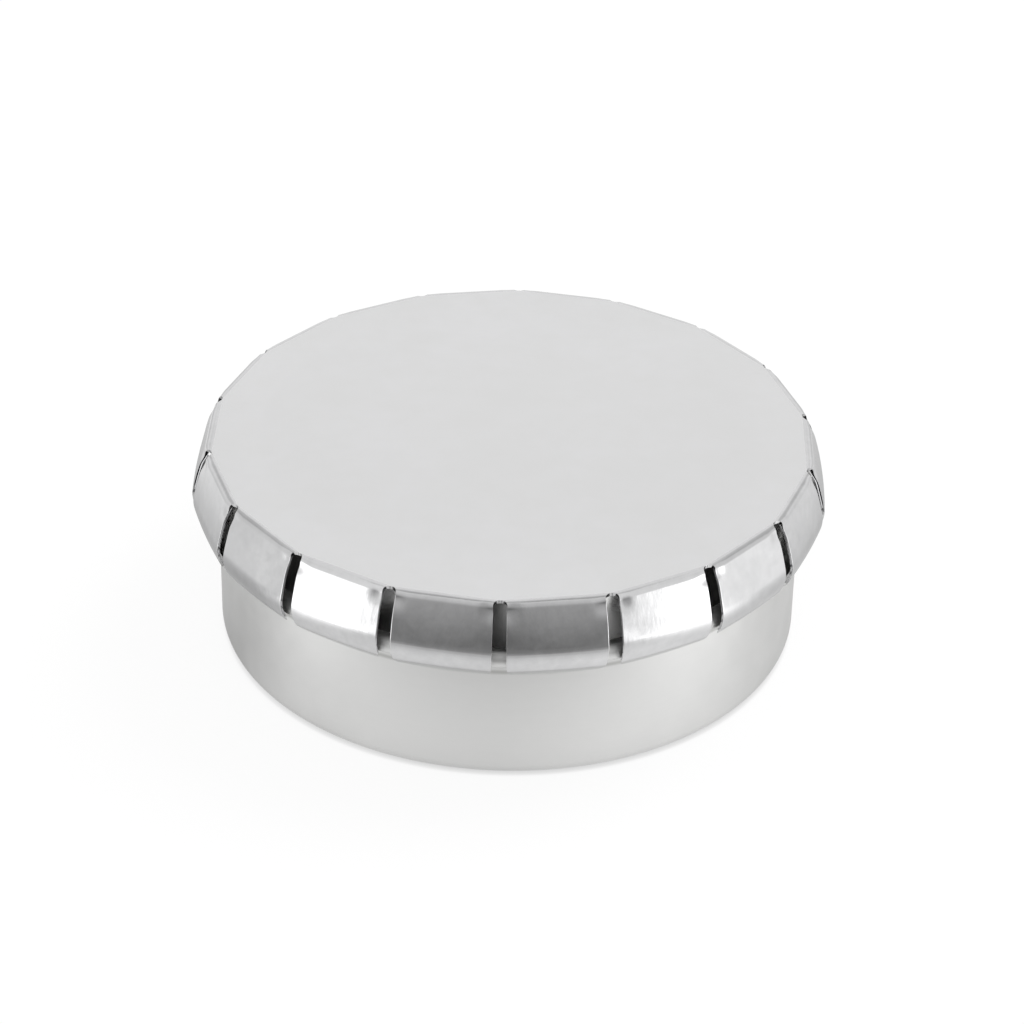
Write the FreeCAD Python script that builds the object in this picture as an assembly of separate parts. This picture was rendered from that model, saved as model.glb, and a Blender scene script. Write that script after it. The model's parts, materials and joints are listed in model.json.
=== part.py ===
import FreeCAD, Part
import math
import os

# Round mint tin with a press lid, in millimetres.
# The origin is the centre of the base, +Z is up, and a slit of the lid points to -Y.
# Both halves are thin sheet, so each section is drawn as one face line plus the sheet's thickness.

# Sheet and overall height
sheet = 0.25
lid_height = 15.9
tab_count = 18

# Lid panel: a flat rim with straight folds round a slightly domed centre
fold_apothem = 22.7
rim_width = 2.8
dome_rise = 0.4
centre_gap = 0.08

# Tabs, from the fold down: fold, flare, hem and the small curl at the tip
fold_radius = 0.6
fold_gap = 0.11
flare_angle = 17.0
flare_length = 3.2
hem_radius = 2.6
hem_end_angle = -22.0
curl_radius = 0.45
curl_end_angle = -60.0
slit_width_top = 1.1
slit_width_bottom = 1.23
slit_bite = 0.08
tab_corner_radius = 0.85

# Body: a drawn cup with a recessed base and a rim rolled outward into a bead
bead_radius = 0.74
bead_seam_gap = 0.12
lift_clearance = 0.09
seat_clearance = 0.6
base_corner_radius = 1.0
foot_width = 2.2
base_recess = 0.5
recess_bend_radius = 0.6

# The body's bends are rows of flat strips, each turning by no more than this many degrees
strip_angle = 44.0

# How far a cutting solid reaches past what it cuts
overrun = 1.0

# Worked out from the sizes above
half_step = math.radians(180.0 / tab_count)
dome_radius = fold_apothem - rim_width


def point(radius, height):
    """A point of a section, which lies in the XZ plane."""
    return FreeCAD.Vector(radius, 0, height)


def run(length):
    """A straight stretch of a section."""
    return ("run", length, 0.0)


def bend(radius, turn):
    """A round stretch of a section. A positive turn, in degrees, goes anticlockwise."""
    return ("bend", radius, turn)


def section_vector(angle, length):
    """A vector of a section, at an angle in degrees above +X."""
    return FreeCAD.Vector(length * math.cos(math.radians(angle)), 0, length * math.sin(math.radians(angle)))


def trace(start, heading, moves, offset=0.0, strip=None):
    """Edges and end of a smooth line, set off to its left by the offset.

    A bend is one arc or, with a strip angle, a row of flat strips that turn by no more than it."""
    here = start + section_vector(heading + 90.0, offset)
    edges = []
    for kind, size, turn in moves:
        if kind == "run":
            there = here + section_vector(heading, size)
            edges.append(Part.LineSegment(here, there).toShape())
            here = there
            continue
        side = math.copysign(1.0, turn)
        radius = size - side * offset
        centre = here + section_vector(heading + side * 90.0, radius)
        first = heading - side * 90.0
        if strip is None:
            middle = centre + section_vector(first + turn / 2, radius)
            there = centre + section_vector(first + turn, radius)
            edges.append(Part.Arc(here, middle, there).toShape())
            here = there
        else:
            strips = math.ceil(abs(turn) / strip)
            for step in range(1, strips + 1):
                there = centre + section_vector(first + turn * step / strips, radius)
                edges.append(Part.LineSegment(here, there).toShape())
                here = there
        heading += turn
    return edges, here


def sheet_section(start, heading, moves, thickness, strip=None):
    """Section of a sheet: a face line, the same line set off by the thickness, and the two ends."""
    face, face_end = trace(start, heading, moves, 0.0, strip)
    back, back_end = trace(start, heading, moves, thickness, strip)
    root = Part.LineSegment(start + section_vector(heading + 90.0, thickness), start).toShape()
    tip = Part.LineSegment(face_end, back_end).toShape()
    return Part.Face(Part.Wire(face + [tip] + back[::-1] + [root]))


def turned(shape, azimuth):
    """The shape turned about the tin's axis by an angle in degrees."""
    copy = shape.copy()
    copy.rotate(FreeCAD.Vector(0, 0, 0), FreeCAD.Vector(0, 0, 1), azimuth)
    return copy


def tab_moves():
    """The outer line of a tab, from its fold to its tip."""
    return [
        bend(fold_radius, flare_angle - 90.0),
        run(flare_length),
        bend(hem_radius, hem_end_angle - flare_angle),
        bend(curl_radius, curl_end_angle - hem_end_angle),
    ]


def tab_extents():
    """Tip height, widest radius and the smallest radius inside the tip, all at a tab's middle."""
    start = point(fold_apothem, lid_height)
    outer_edges = trace(start, 0.0, tab_moves())[0]
    inner_end = trace(start, 0.0, tab_moves(), -sheet)[1]
    box = Part.Wire(outer_edges).BoundBox
    return box.ZMin, box.XMax, inner_end.x


def tab_outline(tip_height, hem_apothem):
    """The tab seen from outside: sides along the slits and rounded lower corners, as a prism along X."""
    half_top = fold_apothem * math.tan(half_step) - slit_width_top / 2 / math.cos(half_step)
    half_bottom = hem_apothem * math.tan(half_step) - slit_width_bottom / 2 / math.cos(half_step)
    inside = fold_apothem - overrun
    corners = [
        FreeCAD.Vector(inside, -half_bottom, tip_height),
        FreeCAD.Vector(inside, half_bottom, tip_height),
        FreeCAD.Vector(inside, half_top, lid_height),
        FreeCAD.Vector(inside, -half_top, lid_height),
    ]
    face = Part.Face(Part.makePolygon(corners + corners[:1]))
    prism = face.extrude(FreeCAD.Vector(hem_apothem - inside + overrun, 0, 0))
    lower = [edge for edge in prism.Edges if is_lower_corner(edge, tip_height)]
    return prism.makeFillet(tab_corner_radius, lower), half_bottom


def is_lower_corner(edge, tip_height):
    """Whether an edge of the tab's prism runs along X at the height of the tip."""
    box = edge.BoundBox
    return box.XLength > box.YLength and box.ZMax < (tip_height + lid_height) / 2


def tab():
    """One tab, pointing to +X: the bent section drawn along the fold, trimmed to the tab's outline."""
    tip_height, hem_apothem = tab_extents()[:2]
    outline, half_width = tab_outline(tip_height, hem_apothem)
    start = point(fold_apothem, lid_height)
    section = sheet_section(start, 0.0, tab_moves(), -sheet)
    section.translate(FreeCAD.Vector(0, -half_width - overrun, 0))
    strip = section.extrude(FreeCAD.Vector(0, 2 * (half_width + overrun), 0))
    return strip.common(outline)


def lid_panel():
    """Flat rim of the lid: a many-sided plate with a round opening and the arched tops of the slits."""
    edge_apothem = fold_apothem - fold_gap
    vertex_radius = edge_apothem / math.cos(half_step)
    underside = lid_height - sheet
    corner = FreeCAD.Vector(0, -vertex_radius, underside)
    step = 360.0 / tab_count
    corners = [turned(Part.Vertex(corner), step * index).Point for index in range(tab_count)]
    plate = Part.Face(Part.makePolygon(corners + corners[:1])).extrude(FreeCAD.Vector(0, 0, sheet))
    opening = Part.makeCylinder(dome_radius + centre_gap, sheet + 2 * overrun,
                                FreeCAD.Vector(0, 0, underside - overrun))
    arch_radius = slit_width_top / 2
    arch = Part.makeCylinder(arch_radius, sheet + 2 * overrun,
                             FreeCAD.Vector(0, -vertex_radius + slit_bite - arch_radius, underside - overrun))
    cuts = [opening] + [turned(arch, step * index) for index in range(tab_count)]
    return plate.cut(cuts)


def lid_centre():
    """Domed middle of the lid: a shallow cap of the sheet, flush with the rim at its edge."""
    ball_radius = (dome_radius ** 2 + dome_rise ** 2) / (2 * dome_rise)
    ball_centre = FreeCAD.Vector(0, 0, lid_height + dome_rise - ball_radius)
    level = FreeCAD.Vector(1, 0, 0)
    outer = Part.makeSphere(ball_radius, ball_centre, level)
    inner = Part.makeSphere(ball_radius - sheet, ball_centre, level)
    plug = Part.makeCylinder(dome_radius, sheet + dome_rise + overrun,
                             FreeCAD.Vector(0, 0, lid_height - sheet - overrun / 2))
    return plug.common(outer).cut(inner)


def bead_place():
    """Radius and height of the bead's centre.

    Its outside clears the tips of the tabs as the lid lifts, and its shoulder carries the flare of the tabs."""
    tip_inside = tab_extents()[2]
    centre_radius = tip_inside - lift_clearance - bead_radius
    flare = math.radians(flare_angle)
    fold_end = trace(point(fold_apothem, lid_height), 0.0, tab_moves()[:1], -sheet)[1]
    distance = bead_radius + seat_clearance
    drop = (centre_radius - fold_end.x) * math.cos(flare) + distance
    return centre_radius, fold_end.z - drop / math.sin(flare)


def tin_body():
    """The drawn cup: recessed base, foot, rounded corner, straight wall and the outward bead at the rim."""
    centre_radius, centre_height = bead_place()
    wall_outside = centre_radius - bead_radius + sheet
    step_angle = math.degrees(math.acos(1 - base_recess / (2 * recess_bend_radius + sheet)))
    step_width = (2 * recess_bend_radius + sheet) * math.sin(math.radians(step_angle))
    foot_inside = wall_outside - base_corner_radius - foot_width
    wall_height = centre_height - base_corner_radius
    seam_angle = math.degrees(math.acos((bead_radius - sheet - bead_seam_gap) / bead_radius))
    moves = [
        run(foot_inside - step_width),
        bend(recess_bend_radius, -step_angle),
        bend(recess_bend_radius + sheet, step_angle),
        run(foot_width),
        bend(base_corner_radius, 90.0),
        run(wall_height),
        bend(bead_radius - sheet, seam_angle - 360.0),
    ]
    section = sheet_section(point(0, base_recess), 0.0, moves, sheet, strip_angle)
    return section.revolve(FreeCAD.Vector(0, 0, 0), FreeCAD.Vector(0, 0, 1), 360.0)


def main():
    os.makedirs("parts", exist_ok=True)
    pieces = {"tin_body": tin_body(), "lid_panel": lid_panel(), "lid_centre": lid_centre()}
    first_tab = tab()
    step = 360.0 / tab_count
    for index in range(tab_count):
        pieces["tab_%02d" % (index + 1)] = turned(first_tab, step * (index + 0.5) - 90.0)
    for name, shape in pieces.items():
        solid = shape.Solids[0]
        solid.exportStep("parts/%s.step" % name)
    tip_height, hem_apothem, tip_inside = tab_extents()
    centre_radius, centre_height = bead_place()
    print("tab tip height %.3f, widest radius %.3f, inside the tip %.3f" % (tip_height, hem_apothem, tip_inside))
    print("bead centre radius %.3f, height %.3f" % (centre_radius, centre_height))
    print("wall outside radius %.3f" % (centre_radius - bead_radius + sheet))


main()
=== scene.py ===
# %% [markdown]
# # A round mint tin with a press lid
#
# The tin is two pieces of thin tinplate. A drawn cup has a rim rolled outward into a bead. A lid has its
# skirt cut by eighteen slits, so that the skirt is a ring of springy tabs which hold on to the bead.
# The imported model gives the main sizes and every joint. This lesson builds smooth surfaces on that frame,
# gives them a metal finish, and lights them as in a small photo studio.

import json
import math

import bpy
import numpy as np
from mathutils import Matrix, Vector


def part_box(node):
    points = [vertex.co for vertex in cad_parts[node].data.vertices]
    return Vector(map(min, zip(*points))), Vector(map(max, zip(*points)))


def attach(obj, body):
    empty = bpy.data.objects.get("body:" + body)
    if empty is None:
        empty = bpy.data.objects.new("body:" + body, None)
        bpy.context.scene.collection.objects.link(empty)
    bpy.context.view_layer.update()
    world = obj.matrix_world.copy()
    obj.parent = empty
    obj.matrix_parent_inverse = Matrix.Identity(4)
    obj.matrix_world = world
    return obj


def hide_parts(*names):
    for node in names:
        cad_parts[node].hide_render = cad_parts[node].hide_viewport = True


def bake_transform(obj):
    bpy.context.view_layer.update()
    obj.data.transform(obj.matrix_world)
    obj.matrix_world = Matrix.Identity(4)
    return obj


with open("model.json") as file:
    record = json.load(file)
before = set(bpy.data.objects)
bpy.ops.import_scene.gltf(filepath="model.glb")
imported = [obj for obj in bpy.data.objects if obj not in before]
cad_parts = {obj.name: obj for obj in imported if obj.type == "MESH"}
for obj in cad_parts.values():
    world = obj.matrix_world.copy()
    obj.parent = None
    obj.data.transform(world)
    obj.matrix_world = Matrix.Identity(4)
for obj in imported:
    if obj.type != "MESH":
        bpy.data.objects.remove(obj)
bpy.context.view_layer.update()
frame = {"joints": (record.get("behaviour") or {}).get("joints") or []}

# %% [markdown]
# ## Sizes that the frame already knows
#
# A scene that measures the frame can't drift away from it. Each tab has a hinge in the frame, at the centre
# of its fold. The hinge's place gives the tab's direction and the fold's radius. The boxes of the nodes give
# the rest: the tab that points along +X has its fold at its lowest x and its hem at its highest.

# %% Read the sizes
mm = 0.001
tab_hinges = {joint["child"]: joint for joint in frame["joints"] if joint["name"].endswith("_fold")}
tab_azimuth = {name: math.atan2(joint["pos_m"][1], joint["pos_m"][0]) for name, joint in tab_hinges.items()}
side_tab = min(tab_azimuth, key=lambda name: abs(tab_azimuth[name]))
tab_low, tab_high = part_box(side_tab)
fold_apothem = tab_low.x
hem_apothem = tab_high.x
lid_height = tab_high.z
fold_radius = lid_height - tab_hinges[side_tab]["pos_m"][2]
half_step = math.pi / len(tab_hinges)
dome_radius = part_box("lid_centre")[1].x
dome_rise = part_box("lid_centre")[1].z - lid_height
bead_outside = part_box("tin_body")[1].x
bead_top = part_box("tin_body")[1].z
print("tabs: %d, fold radius %.2f mm, hem at %.2f mm" % (len(tab_hinges), fold_radius / mm, hem_apothem / mm))

# %% [markdown]
# ## Drawing the section of a sheet
#
# Sheet metal is straight where it is left alone and round where it is bent. So a section is a list of
# stretches, each with a length and a turn. Along a stretch the heading changes evenly with the length, and
# adding up the cosine and sine of the heading gives the points. The other face of the sheet is the same line
# moved sideways by the thickness.

# %% Section helpers
sheet = 0.25 * mm
fine_steps = 40000


def run(length):
    """A straight stretch: its length, and no turn."""
    return (length, 0.0)


def bend(radius, degrees):
    """A round stretch: the length is the radius times the turn. A positive turn goes to the left."""
    turn = math.radians(degrees)
    return (radius * abs(turn), turn)


def stations(moves, turn_step, run_count):
    """Lengths from the start at which a section is sampled: one per turn step in bends, a few in runs."""
    stops = np.cumsum([0.0] + [length for length, turn in moves])
    counts = [math.ceil(abs(turn) / math.radians(turn_step)) if turn else run_count for length, turn in moves]
    spans = [np.linspace(a, b, n, endpoint=False) for a, b, n in zip(stops[:-1], stops[1:], counts)]
    return np.concatenate(spans + [stops[-1:]])


def section_line(start, moves, places):
    """Points and headings of a section that starts along +X, at the given lengths.

    The heading is linear in the length on each stretch. The point is the start plus the running sum of
    (cosine, sine) of the heading times a small step."""
    stops = np.cumsum([0.0] + [length for length, turn in moves])
    headings = np.cumsum([0.0] + [turn for length, turn in moves])
    fine = np.linspace(0.0, stops[-1], fine_steps + 1)
    middle = np.interp((fine[1:] + fine[:-1]) / 2, stops, headings)
    steps = np.stack([np.cos(middle), np.sin(middle)], 1) * np.diff(fine)[:, None]
    line = np.concatenate([np.zeros((1, 2)), np.cumsum(steps, 0)]) + np.array(start)
    points = np.stack([np.interp(places, fine, line[:, axis]) for axis in (0, 1)], 1)
    return points, np.interp(places, stops, headings)


def left_of(headings):
    """Unit vectors to the left of the headings: for a heading h, minus its sine and then its cosine."""
    return np.stack([-np.sin(headings), np.cos(headings)], 1)


print("a quarter bend of radius 1 is %.4f long" % bend(1.0, 90.0)[0])

# %% [markdown]
# ## From a grid of points to a mesh
#
# Every piece here is a grid: rows along a section and columns round or across it. One helper numbers the
# quads of a grid, and a second one puts the arrays into a mesh. The open borders of a sheet are marked sharp,
# so that the thickness has crisp cut edges and the flat faces stay flat in the light. A Solidify modifier
# adds the thickness, and it stays live.

# %% Mesh helpers


def grid_quads(rows, columns, wrap):
    """Corner numbers of the quads of a grid numbered row by row.

    Each quad joins two neighbours in a row to the two below. With wrap, the last column meets the first."""
    last = columns if wrap else columns - 1
    row, column = np.meshgrid(np.arange(rows - 1), np.arange(last), indexing="ij")
    beside = (column + 1) % columns
    corners = [row * columns + column, row * columns + beside]
    corners += [(row + 1) * columns + beside, (row + 1) * columns + column]
    return np.stack(corners, -1).reshape(-1, 4)


def mark_borders(mesh):
    """Marks as sharp each edge that only one face uses."""
    used = np.empty(len(mesh.loops), np.int32)
    mesh.loops.foreach_get("edge_index", used)
    border = np.bincount(used, minlength=len(mesh.edges)) == 1
    mesh.attributes.new("sharp_edge", "BOOLEAN", "EDGE").data.foreach_set("value", border)


def sheet_piece(name, points, faces):
    """A smooth-shaded object at the origin from an array of points and a list of faces."""
    mesh = bpy.data.meshes.new(name)
    mesh.from_pydata(points.reshape(-1, 3).tolist(), [], faces)
    mesh.polygons.foreach_set("use_smooth", np.ones(len(mesh.polygons), bool))
    mark_borders(mesh)
    mesh.validate()
    piece = bpy.data.objects.new(name, mesh)
    bpy.context.scene.collection.objects.link(piece)
    print(name + ":", len(mesh.vertices), "points,", len(mesh.polygons), "faces")
    return piece


def thicken(piece):
    """Gives a sheet its thickness, away from the side that its faces point to."""
    solid = piece.modifiers.new("sheet thickness", "SOLIDIFY")
    solid.thickness = sheet
    solid.offset = -1.0
    solid.use_even_offset = True
    solid.use_quality_normals = True


print("a closed grid of 3 rows and 8 columns has", len(grid_quads(3, 8, True)), "quads")

# %% [markdown]
# ## The section of the cup
#
# The cup is drawn from a disc: a recessed base, a narrow foot, a rounded corner, a straight wall, and a rim
# rolled outward into a bead. It is round, so one section says everything about it. The outer face is drawn
# from the axis to the end of the roll, and the inner face comes back to the axis.

# %% Draw the cup's section
bead_radius = 0.74 * mm
bead_seam_gap = 0.12 * mm
base_corner_radius = 1.0 * mm
foot_width = 2.2 * mm
base_recess = 0.5 * mm
recess_bend_radius = 0.6 * mm
wall_inside = bead_outside - 2 * bead_radius
cup_turn_step = 7.5
cup_run_rows = 10


def cup_section():
    """Closed line of the cup in radius and height: the outer face outward, then the inner face back.

    The recess is two opposite bends. They drop by the sum of their radii times 1 - cos of their turn, and
    the turn is solved from the drop. The bead's roll stops where its end is a seam's gap off the wall."""
    wall_outside = wall_inside + sheet
    step_reach = 2 * recess_bend_radius + sheet
    step_turn = math.degrees(math.acos(1 - base_recess / step_reach))
    step_width = step_reach * math.sin(math.radians(step_turn))
    roll_gap = math.degrees(math.acos((bead_radius - sheet - bead_seam_gap) / bead_radius))
    moves = [
        run(wall_outside - base_corner_radius - foot_width - step_width),
        bend(recess_bend_radius, -step_turn),
        bend(recess_bend_radius + sheet, step_turn),
        run(foot_width),
        bend(base_corner_radius, 90.0),
        run(bead_top - bead_radius - base_corner_radius),
        bend(bead_radius - sheet, roll_gap - 360.0),
    ]
    outer, headings = section_line((0.0, base_recess), moves, stations(moves, cup_turn_step, cup_run_rows))
    inner = outer + sheet * left_of(headings)
    return np.concatenate([outer, inner[::-1]])


section = cup_section()
print("section of the cup: %d points, widest at %.2f mm" % (len(section), section[:, 0].max() / mm))

# %% [markdown]
# ## Turning the cup
#
# Blender can spin a line round an axis by hand or with a modifier. Here the turn is one formula on whole
# arrays, because then the order of the points is known and the next step can use it. The two ends of the
# section lie on the axis and become single points, so the shell is closed.

# %% Turn the cup
cup_columns = 288


def turned_piece(name, section, columns):
    """A closed section turned round the axis: a point at radius r and angle a goes to (r cos a, r sin a, z).

    The first and last points of the section lie on the axis. Each is one vertex with a fan of triangles."""
    angle = np.arange(columns) * 2 * math.pi / columns
    radius, height = section[1:-1, 0, None], section[1:-1, 1, None]
    rings = np.stack([radius * np.cos(angle), radius * np.sin(angle), height + 0 * angle], -1)
    poles = np.array([[0, 0, section[0, 1]], [0, 0, section[-1, 1]]])
    points = np.concatenate([rings.reshape(-1, 3), poles])
    first_pole = len(points) - 2
    column = np.arange(columns)
    beside = (column + 1) % columns
    last_ring = first_pole - columns
    fans = [np.stack([0 * column + first_pole, beside, column], 1)]
    fans += [np.stack([last_ring + column, last_ring + beside, 0 * column + first_pole + 1], 1)]
    faces = grid_quads(len(section) - 2, columns, True).tolist()
    return sheet_piece(name, points, faces + np.concatenate(fans).tolist())


cup = turned_piece("cup_shell", section, cup_columns)

# %% [markdown]
# ## Marking the inside
#
# The inside of the cup is hardly ever touched, so it is smoother than the outside, and its colour is made
# lighter as painted light for the dark inside. The finish has to know where the inside is. A mesh can carry a
# number at each point, and here that number is called lining: 1 on the inner face below the bead, and 0
# elsewhere. The points lie ring by ring with the two poles last, so one value per row is repeated round its
# ring.

# %% Mark the inside of the cup
wall_slack = 0.025 * mm
on_inner_face = np.arange(len(section)) >= len(section) // 2
below_bead = section[:, 0] < wall_inside + wall_slack
lined_rows = (on_inner_face & below_bead).astype(np.float32)
lining = np.append(np.repeat(lined_rows[1:-1], cup_columns), lined_rows[[0, -1]])
cup.data.attributes.new("lining", "FLOAT", "POINT").data.foreach_set("value", lining)
print("points on the lining:", int(lining.sum()))

# %% [markdown]
# ## The outline of a slit
#
# A slit starts as a round arch that just bites into the corner of the lid's panel, and runs down between two
# tabs to their lower edge. Laid flat, its outline is one curve: a half circle, then two straight sides that
# open a little. The panel and the tabs both read it, so they always meet.
# A row at distance X from the axis crosses the corner line at X / cos h, where h is half a tab's angle. Its
# end stays a distance q from the corner line, and q solves the quadratic of a slanted line and a circle.

# %% Slit outline
slit_crown = 22.93 * mm
slit_half_top = 0.52 * mm
slit_half_bottom = 0.6 * mm
slant = math.tan(half_step)


def slit_half_width(flat_apothem):
    """Half the slit's width for flat rows at these distances from the axis.

    It is nothing inside the crown, the root of the quadratic over the arch, and then the straight half."""
    lead = flat_apothem / math.cos(half_step) - slit_crown - slit_half_top
    root = (lead * slant) ** 2 - (1 + slant ** 2) * (lead ** 2 - slit_half_top ** 2)
    arch = (lead * slant + np.sqrt(np.maximum(root, 0.0))) / (1 + slant ** 2)
    straight = lead >= slit_half_top * slant
    return np.where(straight, slit_half_top, np.maximum(arch, 0.0))


print("width of a slit: %.2f mm, opening to %.2f mm" % (2 * slit_half_top / mm, 2 * slit_half_bottom / mm))

# %% [markdown]
# ## The panel of the lid
#
# The panel is a flat plate with eighteen straight edges and a low dome in the middle. In polar form each ring
# is a share of the plate's outline, and the height depends on the radius alone: the dome is the square of
# 1 - (r / R) squared, which leaves the rim flat and level. Angles are crowded at the corners, where the
# arches of the slits cut in.

# %% Lay out the panel
root_strip = 0.1 * mm
panel_apothem = fold_apothem - root_strip
corner_angle = math.asin(float(slit_half_width(np.array(panel_apothem))) / panel_apothem)
arch_columns = 12
edge_columns = 10
panel_rings = 44


def outline_radius(from_corner):
    """Radius of the panel's outline at angles from the nearest corner.

    A straight edge is the apothem over the cosine of the angle from its middle. Across a corner, the arch
    of the slit is the near crossing of a ray with the slit's circle."""
    edge = panel_apothem / np.cos(half_step - np.abs(from_corner))
    centre = slit_crown + slit_half_top
    inside = np.maximum(slit_half_top ** 2 - (centre * np.sin(from_corner)) ** 2, 0.0)
    arch = centre * np.cos(from_corner) - np.sqrt(inside)
    return np.where(np.abs(from_corner) < corner_angle, np.minimum(arch, edge), edge)


def dome_height(radius):
    """Height of the panel: flat at the rim, and a dome of (1 - (r / R) ** 2) ** 2 in the middle."""
    return lid_height + dome_rise * np.clip(1 - (radius / dome_radius) ** 2, 0, 1) ** 2


def panel_piece(name):
    """The top face of the panel: rings that are shares of the outline, down to one point in the middle."""
    arch = np.linspace(-corner_angle, corner_angle, arch_columns, endpoint=False)
    edge = np.linspace(corner_angle, 2 * half_step - corner_angle, edge_columns, endpoint=False)
    span = np.concatenate([arch, edge])
    from_corner = np.where(span > half_step, span - 2 * half_step, span)
    corner = np.arange(len(tab_hinges)) * 2 * half_step - math.pi / 2
    angle = (corner[:, None] + span).ravel()
    reach = np.tile(outline_radius(from_corner), len(tab_hinges))
    share = np.linspace(1.0, 0.0, panel_rings, endpoint=False)
    radius = share[:, None] * reach
    rings = np.stack([radius * np.cos(angle), radius * np.sin(angle), dome_height(radius)], -1)
    middle = np.array([[0.0, 0.0, lid_height + dome_rise]])
    points = np.concatenate([rings.reshape(-1, 3), middle])
    columns = len(angle)
    column = np.arange(columns)
    last_ring = (panel_rings - 1) * columns
    fan = np.stack([last_ring + column, last_ring + (column + 1) % columns, 0 * column + len(points) - 1], 1)
    return sheet_piece(name, points, grid_quads(panel_rings, columns, True).tolist() + fan.tolist())


panel = panel_piece("lid_sheet")
thicken(panel)

# %% [markdown]
# ## The section of a tab
#
# Each tab is folded down from the panel, flares outward, and turns back in a round hem that closes under the
# bead. The flare itself is slightly round, so that it mirrors a little more than a flat one would. Rows lie
# close together in the bends, below the fold, and round the lower corners, because the shape changes there.

# %% Draw a tab's section
flare_top_angle = 21.0
flare_bottom_angle = 15.0
flare_length = 3.15 * mm
hem_radius = 2.6 * mm
hem_end_angle = -57.0
tab_corner_radius = 1.2 * mm
shoulder_place = 1.0 * mm
shoulder_reach = 0.55 * mm
tab_turn_step = 4.0
tab_run_rows = 4
flare_rows = 24
corner_rows = 14


def tab_moves():
    """A tab's outer face from the panel's edge: a short flat strip, the fold, the round flare and the hem."""
    return [
        run(root_strip),
        bend(fold_radius, flare_top_angle - 90.0),
        (flare_length, math.radians(flare_bottom_angle - flare_top_angle)),
        bend(hem_radius, hem_end_angle - flare_bottom_angle),
    ]


def tab_rows(moves):
    """Lengths at which a tab has rows. Over the lower corners they follow a sine, as points on an arc do."""
    total = sum(length for length, turn in moves)
    corner_start = total - tab_corner_radius
    even = np.linspace(shoulder_place - shoulder_reach, corner_start, flare_rows)
    above = np.union1d(stations(moves, tab_turn_step, tab_run_rows), even)
    above = above[above < corner_start]
    arc = np.sin(np.linspace(0.0, math.pi / 2, corner_rows))
    return np.concatenate([above, total - tab_corner_radius * (1 - arc)])


tab_line = tab_moves()
rows_along = tab_rows(tab_line)
print("section of a tab: %.2f mm long, in %d rows" % (rows_along[-1] / mm, len(rows_along)))

# %% [markdown]
# ## The face of a tab
#
# Across its width a tab is almost flat. It is bowed a little at the hem, the press has rolled its cut sides
# inward, and the shoulders beside the slits have sunk a little below the fold. Each of these is a small
# shift of a flat strip, so each has its own formula and they are added up. The strip's width follows the
# slit outline above and the rounded corners below.

# %% Shape a tab's face
hem_bow = 0.13 * mm
roll_radius = 0.08 * mm
roll_angle = math.radians(42.0)
roll_starts = 0.35 * mm
roll_is_full = 1.3 * mm
shoulder_depth = 0.13 * mm
shoulder_width = 1.2 * mm
side_columns = 18
middle_columns = 20


def smooth_step(value, low, high):
    """0 below low, 1 above high, and t * t * (3 - 2 t) between them."""
    t = np.clip((value - low) / (high - low), 0, 1)
    return t * t * (3 - 2 * t)


def across(side):
    """Positions across a tab from +1 to -1. Towards each side they crowd as the square of the distance."""
    edge = 1.0 - side * np.linspace(0.0, 1.0, side_columns, endpoint=False) ** 2
    middle = np.linspace(1.0 - side, side - 1.0, middle_columns)
    return np.concatenate([edge, middle, -edge[::-1]])


def tab_half_width(rows, radius):
    """Half a tab's width at lengths down the tab, where its face is at these distances from the axis.

    It is half the wedge between two corner lines, less the slit, less the round of the lower corner. The
    slit opens by a smooth step down the tab."""
    total = rows[-1]
    fall = smooth_step(rows, roll_is_full, total)
    slit = slit_half_width(panel_apothem + rows) + fall * (slit_half_bottom - slit_half_top)
    to_tip = np.minimum(total - rows, tab_corner_radius)
    corner = tab_corner_radius - np.sqrt(tab_corner_radius ** 2 - (tab_corner_radius - to_tip) ** 2)
    return radius * slant - slit / math.cos(half_step) - corner


def side_drop(rows, from_side):
    """How far the face drops inward, at lengths down the tab and distances from its cut side.

    The roll turns the side in along a circle, so a point at distance e from the side drops by
    R (1 - cos t), where sin t = sin T - e / R. The shoulder sinks by a bell curve down the tab times a
    smooth step towards the side."""
    tilt = np.arcsin(np.clip(math.sin(roll_angle) - from_side / roll_radius, 0, 1))
    roll = roll_radius * (1 - np.cos(tilt)) * smooth_step(rows, roll_starts, roll_is_full)[:, None]
    shoulder = np.exp(-((rows - shoulder_place) / shoulder_reach) ** 2)[:, None]
    return roll + shoulder_depth * shoulder * (1 - smooth_step(from_side, 0.0, shoulder_width))


def tab_face(moves, rows):
    """Points of the outer face of a tab that points along +X, as rows by columns.

    A row sits at the section's point. It is shifted square to the face by the drop, and the bow pulls its
    sides towards the axis by the square of the place across."""
    points, headings = section_line((panel_apothem, lid_height), moves, rows)
    half_width = tab_half_width(rows, points[:, 0])
    place = across(shoulder_width / half_width[0])
    drop = side_drop(rows, half_width[:, None] * (1 - np.abs(place)))
    inward = -left_of(headings)
    bow = hem_bow * place ** 2 * smooth_step(rows, roll_starts, rows[-1] - tab_corner_radius)[:, None]
    x = points[:, 0, None] + inward[:, 0, None] * drop - bow
    z = points[:, 1, None] + inward[:, 1, None] * drop
    return np.stack([x, half_width[:, None] * place, z], -1)


face = tab_face(tab_line, rows_along)
print("widest point of a tab %.3f mm, frame %.3f mm" % (face[..., 0].max() / mm, hem_apothem / mm))
print("lowest point of a tab %.3f mm, frame %.3f mm" % (face[..., 2].min() / mm, tab_low.z / mm))

# %% [markdown]
# ## A ring of tabs
#
# All the tabs come out of one press, so one face serves for all of them. Each is that face turned about the
# axis to the direction of its own hinge. They stay separate objects, one for each hinge.

# %% Turn the tabs into place


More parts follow.
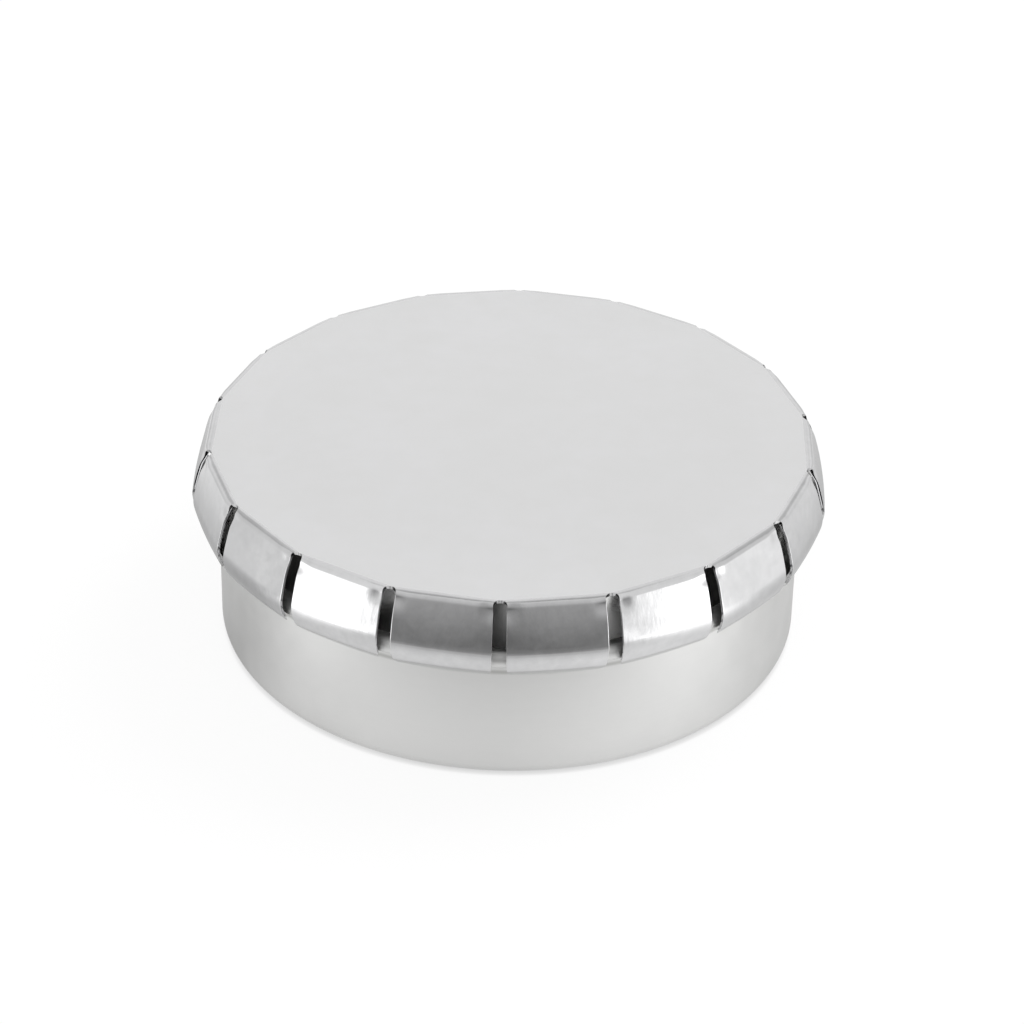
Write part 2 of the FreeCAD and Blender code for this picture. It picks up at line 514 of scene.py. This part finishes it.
def tab_piece(name, azimuth, face):
    """A tab's outer face turned about the axis by its azimuth, with the sheet's thickness inward."""
    c, s = math.cos(azimuth), math.sin(azimuth)
    turn = np.array([[c, s, 0], [-s, c, 0], [0, 0, 1]])
    rows, columns = face.shape[:2]
    piece = sheet_piece(name, face @ turn, grid_quads(rows, columns, False).tolist())
    thicken(piece)
    return piece


tabs = {}
for name in sorted(tab_hinges):
    tabs[name] = tab_piece(name.replace("tab", "tab_leaf"), tab_azimuth[name], face)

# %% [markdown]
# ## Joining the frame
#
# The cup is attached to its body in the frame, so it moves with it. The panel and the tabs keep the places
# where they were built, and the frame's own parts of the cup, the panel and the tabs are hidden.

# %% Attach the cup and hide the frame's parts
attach(cup, "tin_body")
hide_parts("tin_body")

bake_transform(panel)
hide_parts("lid_panel", "lid_centre")

for name, piece in tabs.items():
    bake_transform(piece)
    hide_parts(name)
print("pieces on the frame:", 2 + len(tabs))

# %% [markdown]
# ## Node helpers
#
# Materials are node trees, and building them by hand is wordy. One helper adds a node, sets its options and
# fills its inputs, either with a value or with a link from another node. A second one starts a node group
# with named sockets, which is how one effect is shared by several finishes.

# %% Node helpers


def add_node(tree, kind, inputs=None, **options):
    """A new node in a tree. An input given a socket is linked to it, and any other input is set."""
    node = tree.nodes.new(kind)
    for key, value in options.items():
        setattr(node, key, value)
    for key, value in (inputs or {}).items():
        if isinstance(value, bpy.types.NodeSocket):
            tree.links.new(value, node.inputs[key])
        else:
            node.inputs[key].default_value = value
    return node


def start_group(name, inputs, outputs):
    """A shader group with the named inputs and outputs, and its two end nodes."""
    group = bpy.data.node_groups.new(name, "ShaderNodeTree")
    for label, kind in inputs:
        group.interface.new_socket(label, in_out="INPUT", socket_type=kind)
    for label in outputs:
        group.interface.new_socket(label, in_out="OUTPUT", socket_type="NodeSocketFloat")
    return group, group.nodes.new("NodeGroupInput"), group.nodes.new("NodeGroupOutput")


print("node helpers:", add_node.__name__, "and", start_group.__name__)

# %% [markdown]
# ## Shared effects of tinplate
#
# Tinplate is rolled and then drawn, and both leave very fine lines in one direction. Noise on coordinates
# that are stretched along the lines gives that grain. Handling leaves soft dull patches, which are two sizes
# of plain noise. Both are groups that put out a value from 0 to 1, so each finish can use them at its own
# scale.

# %% Make the groups
finer_ratio = 5.3
marks_low = 0.12
marks_high = 0.4


def make_sheet_grain():
    """Group: noise on the coordinates times a stretch, in lines per metre along each axis."""
    group, entry, leave = start_group(
        "sheet grain", [("Vector", "NodeSocketVector"), ("Stretch", "NodeSocketVector")], ["Grain"])
    scaled = add_node(group, "ShaderNodeVectorMath",
                      {0: entry.outputs["Vector"], 1: entry.outputs["Stretch"]}, operation="MULTIPLY")
    noise = add_node(group, "ShaderNodeTexNoise",
                     {"Vector": scaled.outputs[0], "Scale": 1.0, "Detail": 3.0, "Roughness": 0.6})
    group.links.new(noise.outputs[0], leave.inputs["Grain"])
    return group


def make_handling_marks():
    """Group: broad noise times finer noise, spread over 0 to 1."""
    group, entry, leave = start_group(
        "handling marks", [("Vector", "NodeSocketVector"), ("Scale", "NodeSocketFloat")], ["Marks"])
    broad = add_node(group, "ShaderNodeTexNoise",
                     {"Vector": entry.outputs["Vector"], "Scale": entry.outputs["Scale"], "Detail": 2.0})
    finer_scale = add_node(group, "ShaderNodeMath",
                           {0: entry.outputs["Scale"], 1: finer_ratio}, operation="MULTIPLY")
    finer = add_node(group, "ShaderNodeTexNoise",
                     {"Vector": entry.outputs["Vector"], "Scale": finer_scale.outputs[0], "Detail": 4.0})
    both = add_node(group, "ShaderNodeMath", {0: broad.outputs[0], 1: finer.outputs[0]}, operation="MULTIPLY")
    spread = add_node(group, "ShaderNodeMapRange",
                      {"Value": both.outputs[0], "From Min": marks_low, "From Max": marks_high})
    group.links.new(spread.outputs[0], leave.inputs["Marks"])
    return group


sheet_grain = make_sheet_grain()
handling_marks = make_handling_marks()
print("groups:", [group.name for group in bpy.data.node_groups])

# %% [markdown]
# ## Three finishes of one metal
#
# The panel and the cup are satin tinplate, and the tabs are bright where the press has burnished them. All
# are metal, so their look is what they mirror: the roughness says how blurred the mirror is. The marks shift
# the colour and the roughness a little, and the grain shifts the roughness and tilts the surface by microns.

# %% Make the finishes
uneven_low = 0.3
uneven_high = 1.5


def tinplate(name, dull, bright, roughness, stretch, grain_depth, marks_scale):
    """A metal: marks choose between two greys, marks plus grain set the roughness, grain sets the bump."""
    material = bpy.data.materials.new(name)
    material.use_nodes = True
    tree = material.node_tree
    metal = tree.nodes["Principled BSDF"]
    metal.inputs["Metallic"].default_value = 1.0
    place = add_node(tree, "ShaderNodeTexCoord").outputs["Object"]
    grain = add_node(tree, "ShaderNodeGroup", node_tree=sheet_grain)
    tree.links.new(place, grain.inputs["Vector"])
    grain.inputs["Stretch"].default_value = stretch
    marks = add_node(tree, "ShaderNodeGroup", node_tree=handling_marks)
    tree.links.new(place, marks.inputs["Vector"])
    marks.inputs["Scale"].default_value = marks_scale
    grey = add_node(tree, "ShaderNodeValToRGB", {"Fac": marks.outputs["Marks"]})
    grey.color_ramp.elements[0].color = (*dull, 1.0)
    grey.color_ramp.elements[1].color = (*bright, 1.0)
    tree.links.new(grey.outputs["Color"], metal.inputs["Base Color"])
    uneven = add_node(tree, "ShaderNodeMath",
                      {0: grain.outputs["Grain"], 1: marks.outputs["Marks"]}, operation="ADD")
    rough = add_node(tree, "ShaderNodeMapRange",
                     {"Value": uneven.outputs[0], "From Min": uneven_low, "From Max": uneven_high,
                      "To Min": roughness[0], "To Max": roughness[1]})
    tree.links.new(rough.outputs[0], metal.inputs["Roughness"])
    bump = add_node(tree, "ShaderNodeBump",
                    {"Height": grain.outputs["Grain"], "Distance": grain_depth, "Strength": 1.0})
    tree.links.new(bump.outputs["Normal"], metal.inputs["Normal"])
    return material


panel_satin = tinplate(
    "satin panel", dull=(0.69, 0.69, 0.69), bright=(0.72, 0.72, 0.725), roughness=(0.30, 0.40),
    stretch=(250.0, 5000.0, 250.0), grain_depth=0.0006 * mm, marks_scale=90.0)
cup_satin = tinplate(
    "satin cup", dull=(0.705, 0.705, 0.698), bright=(0.735, 0.735, 0.728), roughness=(0.42, 0.52),
    stretch=(300.0, 300.0, 4000.0), grain_depth=0.0008 * mm, marks_scale=110.0)
tab_bright = tinplate(
    "bright tab", dull=(0.60, 0.60, 0.605), bright=(0.66, 0.66, 0.665), roughness=(0.08, 0.16),
    stretch=(1500.0, 1500.0, 300.0), grain_depth=0.009 * mm, marks_scale=260.0)
print("finishes:", [material.name for material in (panel_satin, cup_satin, tab_bright)])

# %% [markdown]
# ## The cup's lining, with painted light, and a painted shadow ring
#
# Two things set parts of the cup apart. Its lining, which was marked on the mesh, is smoother than the
# outside, and its colour is made lighter as painted light for the dark inside. And just below where the hems
# of the tabs end, a faint darker ring on the wall is painted shadow, for the shade under the lid's edge. A
# second material could do this, but then each would end at a hard line. So the cup's own finish is changed:
# two masks scale its roughness and its colour.

# %% Dress the cup
lining_smoothness = 0.2
# Painted light: the lining's tint lightens the dark inside of the cup.
lining_light_tint = (1.25, 1.25, 1.25, 1.0)
# Painted shadow: a faint darker ring on the wall just under the tabs' hems, for the shade under the lid's
# edge.
hem_shadow_height = 9.35 * mm
hem_shadow_reach = 0.3 * mm
hem_shadow_tint = (0.7, 0.7, 0.69, 1.0)
no_tint = (1.0, 1.0, 1.0, 1.0)


def hem_shadow_mask(tree, lined):
    """Painted shadow: 1 at the ring's height, falling by a smooth step to 0 at the ring's reach, and 0 on the
    lining.
    """
    place = add_node(tree, "ShaderNodeTexCoord").outputs["Object"]
    height = add_node(tree, "ShaderNodeSeparateXYZ", {0: place}).outputs["Z"]
    offset = add_node(tree, "ShaderNodeMath", {0: height, 1: hem_shadow_height}, operation="SUBTRACT")
    away = add_node(tree, "ShaderNodeMath", {0: offset.outputs[0]}, operation="ABSOLUTE")
    ring = add_node(tree, "ShaderNodeMapRange",
                    {"Value": away.outputs[0], "From Max": hem_shadow_reach, "To Min": 1.0, "To Max": 0.0},
                    interpolation_type="SMOOTHSTEP")
    outside = add_node(tree, "ShaderNodeMath", {0: 1.0, 1: lined}, operation="SUBTRACT")
    mask = add_node(tree, "ShaderNodeMath", {0: ring.outputs[0], 1: outside.outputs[0]}, operation="MULTIPLY")
    return mask.outputs[0]


def dress_cup(material):
    """Scales the roughness on the lining, and the colour by a painted-light tint on the lining and a
    painted-shadow tint on the ring.
    """
    tree = material.node_tree
    metal = tree.nodes["Principled BSDF"]
    lined = add_node(tree, "ShaderNodeAttribute", attribute_name="lining").outputs["Fac"]
    keep = add_node(tree, "ShaderNodeMapRange", {"Value": lined, "To Min": 1.0, "To Max": lining_smoothness})
    roughness = metal.inputs["Roughness"].links[0].from_socket
    rough = add_node(tree, "ShaderNodeMath", {0: roughness, 1: keep.outputs[0]}, operation="MULTIPLY")
    tree.links.new(rough.outputs[0], metal.inputs["Roughness"])
    hem_shadowed = add_node(tree, "ShaderNodeMix",
                      {"Factor": hem_shadow_mask(tree, lined), "A": no_tint, "B": hem_shadow_tint}, data_type="RGBA")
    tint = add_node(tree, "ShaderNodeMix",
                    {"Factor": lined, "A": hem_shadowed.outputs["Result"], "B": lining_light_tint}, data_type="RGBA")
    grey = metal.inputs["Base Color"].links[0].from_socket
    both = add_node(tree, "ShaderNodeVectorMath", {0: grey, 1: tint.outputs["Result"]}, operation="MULTIPLY")
    tree.links.new(both.outputs[0], metal.inputs["Base Color"])


dress_cup(cup_satin)
panel.data.materials.append(panel_satin)
cup.data.materials.append(cup_satin)
for piece in tabs.values():
    piece.data.materials.append(tab_bright)
print("nodes in the cup's finish:", len(cup_satin.node_tree.nodes))

# %% [markdown]
# ## The floor
#
# A photo studio for shiny things is mostly paper. The floor is matt and also glows for the camera and for
# mirrors, so that it reads as white paper and still darkens where the tin shades it. An Ambient Occlusion
# node finds the points that have something close above them and dims the glow there, which draws the thin
# dark line round the foot of the tin.

# %% Lay the floor
floor_half = 3.0
floor_drop = 0.02 * mm
floor_grey = 0.2
floor_glow = 0.85
contact_reach = 0.45 * mm
contact_glow = 0.64
contact_samples = 16


def seen_ray(tree):
    """1 for rays from the camera, mirrors and glass, and 0 for the rays that carry soft light."""
    path = add_node(tree, "ShaderNodeLightPath").outputs
    mirror = add_node(tree, "ShaderNodeMath",
                      {0: path["Is Camera Ray"], 1: path["Is Glossy Ray"]}, operation="MAXIMUM")
    seen = add_node(tree, "ShaderNodeMath",
                    {0: mirror.outputs[0], 1: path["Is Transmission Ray"]}, operation="MAXIMUM")
    return seen.outputs[0]


def paper_floor():
    """Matt grey plus a glow for seen rays, which is scaled down where something stands close by."""
    material = bpy.data.materials.new("white paper")
    material.use_nodes = True
    tree = material.node_tree
    tree.nodes.remove(tree.nodes["Principled BSDF"])
    matt = add_node(tree, "ShaderNodeBsdfDiffuse", {"Color": (floor_grey, floor_grey, floor_grey, 1.0)})
    near = add_node(tree, "ShaderNodeAmbientOcclusion", {"Distance": contact_reach}, samples=contact_samples)
    open_floor = add_node(tree, "ShaderNodeMapRange",
                          {"Value": near.outputs["AO"], "To Max": floor_glow,
                           "To Min": floor_glow * contact_glow})
    strength = add_node(tree, "ShaderNodeMath",
                        {0: seen_ray(tree), 1: open_floor.outputs[0]}, operation="MULTIPLY")
    glow = add_node(tree, "ShaderNodeEmission", {"Strength": strength.outputs[0]})
    both = add_node(tree, "ShaderNodeAddShader", {0: matt.outputs[0], 1: glow.outputs[0]})
    tree.links.new(both.outputs[0], tree.nodes["Material Output"].inputs["Surface"])
    return material


def stage_sheet(name, points, material):
    """A grid of points as a sheet of the set, which isn't part of the tin."""
    rows, columns = points.shape[:2]
    mesh = bpy.data.meshes.new(name)
    mesh.from_pydata(points.reshape(-1, 3).tolist(), [], grid_quads(rows, columns, False).tolist())
    mesh.materials.append(material)
    item = bpy.data.objects.new(name, mesh)
    bpy.context.scene.collection.objects.link(item)
    return item


floor_sides = np.array([-floor_half, floor_half])
floor_grid = np.stack([*np.meshgrid(floor_sides, floor_sides), np.full((2, 2), -floor_drop)], -1)
stage_sheet("floor", floor_grid, paper_floor())
print("floor: %.0f m wide, %.2f mm below the foot" % (2 * floor_half, floor_drop / mm))

# %% [markdown]
# ## A white tent
#
# Round the floor everything is white, as inside a tent of thin cloth. The world can do this without a mesh.
# The camera and mirrors see it at full white, while the soft light that it sheds is weaker, so that the lamp
# still leaves a faint shadow.

# %% Set the world
tent_light = 0.7
world = bpy.data.worlds.new("white tent")
bpy.context.scene.world = world
world.use_nodes = True
sky = world.node_tree.nodes["Background"]
tent_strength = add_node(world.node_tree, "ShaderNodeMapRange",
                         {"Value": seen_ray(world.node_tree), "To Min": tent_light})
world.node_tree.links.new(tent_strength.outputs[0], sky.inputs["Strength"])
sky.inputs["Color"].default_value = (1.0, 1.0, 1.0, 1.0)
print("world:", world.name, "with soft light at", tent_light)

# %% [markdown]
# ## Cards for the metal to mirror
#
# Bare metal in a white tent is nearly white all over. So a photographer stands grey and white cards round
# it, and the metal shows them. Here a card is a sheet that only mirrors see. Each of its points carries a
# number called shade, which is its brightness there, so that a card can fade smoothly without any picture.
# Most of the cards are pieces of a sphere round the tin, because then a place on a card is a direction.

# %% Card helpers
card_columns = 65
card_rows = 33


def towards(azimuth, elevation):
    """Unit vectors by degrees round from the front to the right, and degrees above the floor."""
    a, e = np.radians(azimuth), np.radians(elevation)
    return np.stack(np.broadcast_arrays(np.sin(a) * np.cos(e), -np.cos(a) * np.cos(e), np.sin(e)), -1)


def mirror_card(name, points, shade):
    """A sheet that shows only in mirrors. The shade is its brightness at each point."""
    material = bpy.data.materials.new(name)
    material.use_nodes = True
    tree = material.node_tree
    tree.nodes.remove(tree.nodes["Principled BSDF"])
    grey = add_node(tree, "ShaderNodeAttribute", attribute_name="shade")
    even = add_node(tree, "ShaderNodeEmission", {"Color": grey.outputs["Color"], "Strength": 1.0})
    tree.links.new(even.outputs[0], tree.nodes["Material Output"].inputs["Surface"])
    card = stage_sheet(name, points, material)
    brightness = card.data.attributes.new("shade", "FLOAT", "POINT")
    brightness.data.foreach_set("value", shade.ravel())
    card.visible_camera = False
    card.visible_diffuse = False
    card.visible_shadow = False
    card.visible_transmission = False
    print(name + ": brightness %.2f to %.2f" % (shade.min(), shade.max()))


def dome_card(name, azimuths, elevations, distance, shade):
    """A mirror card that is a piece of a sphere round the tin. The shade is a function of direction."""
    azimuth, elevation = np.meshgrid(np.linspace(*azimuths, card_columns),
                                     np.linspace(*elevations, card_rows))
    mirror_card(name, distance * towards(azimuth, elevation), shade(azimuth, elevation))


print("points on a card:", card_columns * card_rows)

# %% [markdown]
# ## The front card
#
# The two front tabs lean outward and mirror what is in front of the tin. Low down the card is dark, which
# makes these tabs dark grey. It grows lighter upwards, for the folds, and fades to white at both ends, where
# it meets the side cards. Tables with a few stops set the grades, and np.interp draws straight lines between
# the stops.

# %% Hang the front card
card_foot = -1.0
front_end = 46.0
front_fade = 10.0
front_distance = 0.13
front_by_elevation = ([0, 12, 35, 90], [0.2, 0.46, 0.68, 0.76])
front_by_azimuth = ([8, 18, 28], [0.74, 1.0, 1.12])


def front_shade(azimuth, elevation):
    """A level by elevation times a factor by azimuth, mixed with white by a smooth step at both ends."""
    way = np.abs(azimuth)
    grade = np.interp(elevation, *front_by_elevation) * np.interp(way, *front_by_azimuth)
    return grade + (1 - grade) * smooth_step(way, front_end - front_fade, front_end)


dome_card("front_card", (-front_end, front_end), (card_foot, 90.0), front_distance, front_shade)

# %% [markdown]
# ## The side cards
#
# The tabs beside the front ones shine, because they mirror a reflector that is brighter than white. It
# stands low at each side of the front card. Further round the reflectors turn to grey, more so on the left,
# and that shades the sides of the cup. Above them the card is a greyer sky with one darker band, which the
# folds of the side tabs mirror.

# %% Hang the side cards
side_end = 155.0
side_top = 66.0
side_distance = 0.105
right_by_azimuth = ([46, 50, 54, 66, 74, 91, 97, 110, 155], [1.0, 1.5, 2.6, 2.6, 1.25, 1.18, 0.98, 0.9, 0.7])
left_by_azimuth = ([46, 50, 66, 72, 100, 155], [1.0, 1.9, 1.9, 0.92, 0.88, 0.7])
sky_by_azimuth = ([60, 75, 100, 125], [1.0, 0.85, 0.85, 1.0])
reflector_fades = (10, 20)
sky_whitens = (45, 64)
band_dimming = 0.33
band_foot = (26, 36)
band_top = (50, 64)
band_start = (92, 104)
band_end = (135, 155)


def side_shade(level, way, elevation):
    """A level that a smooth step upwards mixes into the sky, times 1 less the band's dimming.

    The sky whitens towards the top. The band is a product of four smooth steps, two in each direction."""
    sky_level = np.interp(way, *sky_by_azimuth)
    sky_level = sky_level + (1 - sky_level) * smooth_step(elevation, *sky_whitens)
    faded = level + (sky_level - level) * smooth_step(elevation, *reflector_fades)
    band_up = smooth_step(elevation, *band_foot) * (1 - smooth_step(elevation, *band_top))
    band_round = smooth_step(way, *band_start) * (1 - smooth_step(way, *band_end))
    return faded * (1 - band_dimming * band_up * band_round)


def right_shade(azimuth, elevation):
    """The side shade with the right reflector's levels."""
    return side_shade(np.interp(azimuth, *right_by_azimuth), azimuth, elevation)


def left_shade(azimuth, elevation):
    """The side shade with the left reflector's levels, by degrees round to the left."""
    return side_shade(np.interp(-azimuth, *left_by_azimuth), -azimuth, elevation)


dome_card("right_card", (front_end, side_end), (card_foot, side_top), side_distance, right_shade)
dome_card("left_card", (-side_end, -front_end), (card_foot, side_top), side_distance, left_shade)

# %% [markdown]
# ## The card overhead
#
# The panel is level and satin, so it mirrors a wide blurred patch of what is behind and above the tin. Under
# a white tent alone it would be too light. A large card overhead, greyer towards the top, takes it down to
# an even light grey.

# %% Hang the card overhead
overhead_foot = 45.0
overhead_distance = 0.6
overhead_dimming = 0.55


def overhead_shade(azimuth, elevation):
    """White less a dimming that grows by a smooth step from the lower edge to the top, the same all round."""
    return 1 - overhead_dimming * smooth_step(elevation, overhead_foot, 90.0) + 0 * azimuth


dome_card("overhead_card", (-180.0, 180.0), (overhead_foot, 90.0), overhead_distance, overhead_shade)

# %% [markdown]
# ## What the wall mirrors in the floor
#
# The wall of the cup is upright, so half of what it mirrors is floor. Close to the tin the floor is shaded,
# and further out it shows the glint of the cards. The floor's own glow is even, so this too is a card: a ring
# that lies just over the floor and that only mirrors see. Its rows grow wider apart outwards, because the
# brightness changes fastest near the foot.

# %% Lay the sweep
sweep_lift = 0.05 * mm
sweep_inside = 21.9 * mm
sweep_outside = 132.0 * mm
sweep_columns = 145
sweep_rows = 45
near_by_azimuth = (
    [-180, -120, -91, -70, -51, -25, 0, 24, 44, 68, 88, 120, 180],
    [0.42, 0.5, 0.56, 0.5, 0.82, 0.93, 0.9, 1.02, 1.02, 0.8, 0.7, 0.55, 0.42])
far_by_azimuth = (
    [-140, -100, -73, -66, -50, -42, -30, 0, 30, 42, 50, 66, 76, 90, 96, 140],
    [1.05, 0.95, 0.92, 2.6, 2.6, 1.0, 0.3, 0.25, 0.3, 1.0, 2.6, 2.6, 1.2, 1.18, 0.97, 0.88])
near_to_far = (28, 70)
foot_by_radius = ([22, 23.5, 26, 30], [0.75, 0.9, 0.98, 1.0])


def sweep_shade(azimuth, radius):
    """Near levels mixed into far levels by a smooth step outwards, times a factor that darkens the foot.

    The stops along the radius are in millimetres."""
    near = np.interp(azimuth, *near_by_azimuth)
    far = np.interp(azimuth, *far_by_azimuth)
    level = near + (far - near) * smooth_step(radius / mm, *near_to_far)
    return level * np.interp(radius / mm, *foot_by_radius)


azimuth, radius = np.meshgrid(np.linspace(-180.0, 180.0, sweep_columns),
                              np.geomspace(sweep_inside, sweep_outside, sweep_rows))
sweep = radius[..., None] * towards(azimuth, 0.0) + np.array([0.0, 0.0, sweep_lift])
mirror_card("sweep_card", sweep, sweep_shade(azimuth, radius))

# %% [markdown]
# ## A soft box
#
# The tent gives nearly all the light. One soft box stands high behind the tin on the right and leaves a
# faint shadow on the floor. Mirrors don't see it, because there it would draw white lines along the folds. A
# lamp's brightness here is its radiance, so its power is the radiance times pi times its area.

# %% Hang the soft box


def soft_box(name, azimuth, elevation, distance, width, height, radiance):
    """A rectangular lamp that faces the tin from the given direction."""
    lamp = bpy.data.lights.new(name, "AREA")
    lamp.shape = "RECTANGLE"
    lamp.size = width
    lamp.size_y = height
    lamp.energy = radiance * math.pi * width * height
    box = bpy.data.objects.new(name, lamp)
    bpy.context.scene.collection.objects.link(box)
    back = Vector(towards(azimuth, elevation).tolist())
    facing = back.to_track_quat("Z", "Y").to_matrix().to_4x4()
    box.matrix_world = Matrix.Translation(back * distance) @ facing
    box.visible_camera = False
    box.visible_glossy = False
    print(name + ": %.2f W" % lamp.energy)


soft_box("key_box", azimuth=125.0, elevation=50.0, distance=0.6, width=0.3, height=0.3, radiance=2.5)

# %% [markdown]
# ## The camera
#
# The camera looks down on the lid at about 32 degrees from a little right of the front slit, through a long
# lens, and is tipped about one degree to one side. Its axes are worked out from those angles and put straight
# into its matrix.

# %% Set the camera
camera_elevation = math.radians(32.435)
camera_azimuth = math.radians(1.115)
camera_roll = math.radians(-1.154)
camera_distance = 262.9 * mm
camera_target = Vector((0.25 * mm, 0.0, 8.8 * mm))
camera_lens = 118.55
camera_near = 0.01
back = Vector((math.sin(camera_azimuth) * math.cos(camera_elevation),
               -math.cos(camera_azimuth) * math.cos(camera_elevation), math.sin(camera_elevation)))
level = Vector((math.cos(camera_azimuth), math.sin(camera_azimuth), 0.0))
upright = back.cross(level)
right = level * math.cos(camera_roll) - upright * math.sin(camera_roll)
up = level * math.sin(camera_roll) + upright * math.cos(camera_roll)
place = camera_target + back * camera_distance
camera_data = bpy.data.cameras.new("camera")
camera_data.lens = camera_lens
camera_data.clip_start = camera_near
camera = bpy.data.objects.new("camera", camera_data)
bpy.context.scene.collection.objects.link(camera)
axes = Matrix((right, up, back)).transposed()
camera.matrix_world = Matrix.Translation(place) @ axes.to_4x4()
bpy.context.scene.camera = camera
bpy.context.scene.view_settings.view_transform = "Standard"
print("camera at", [round(value / mm, 1) for value in place], "mm")
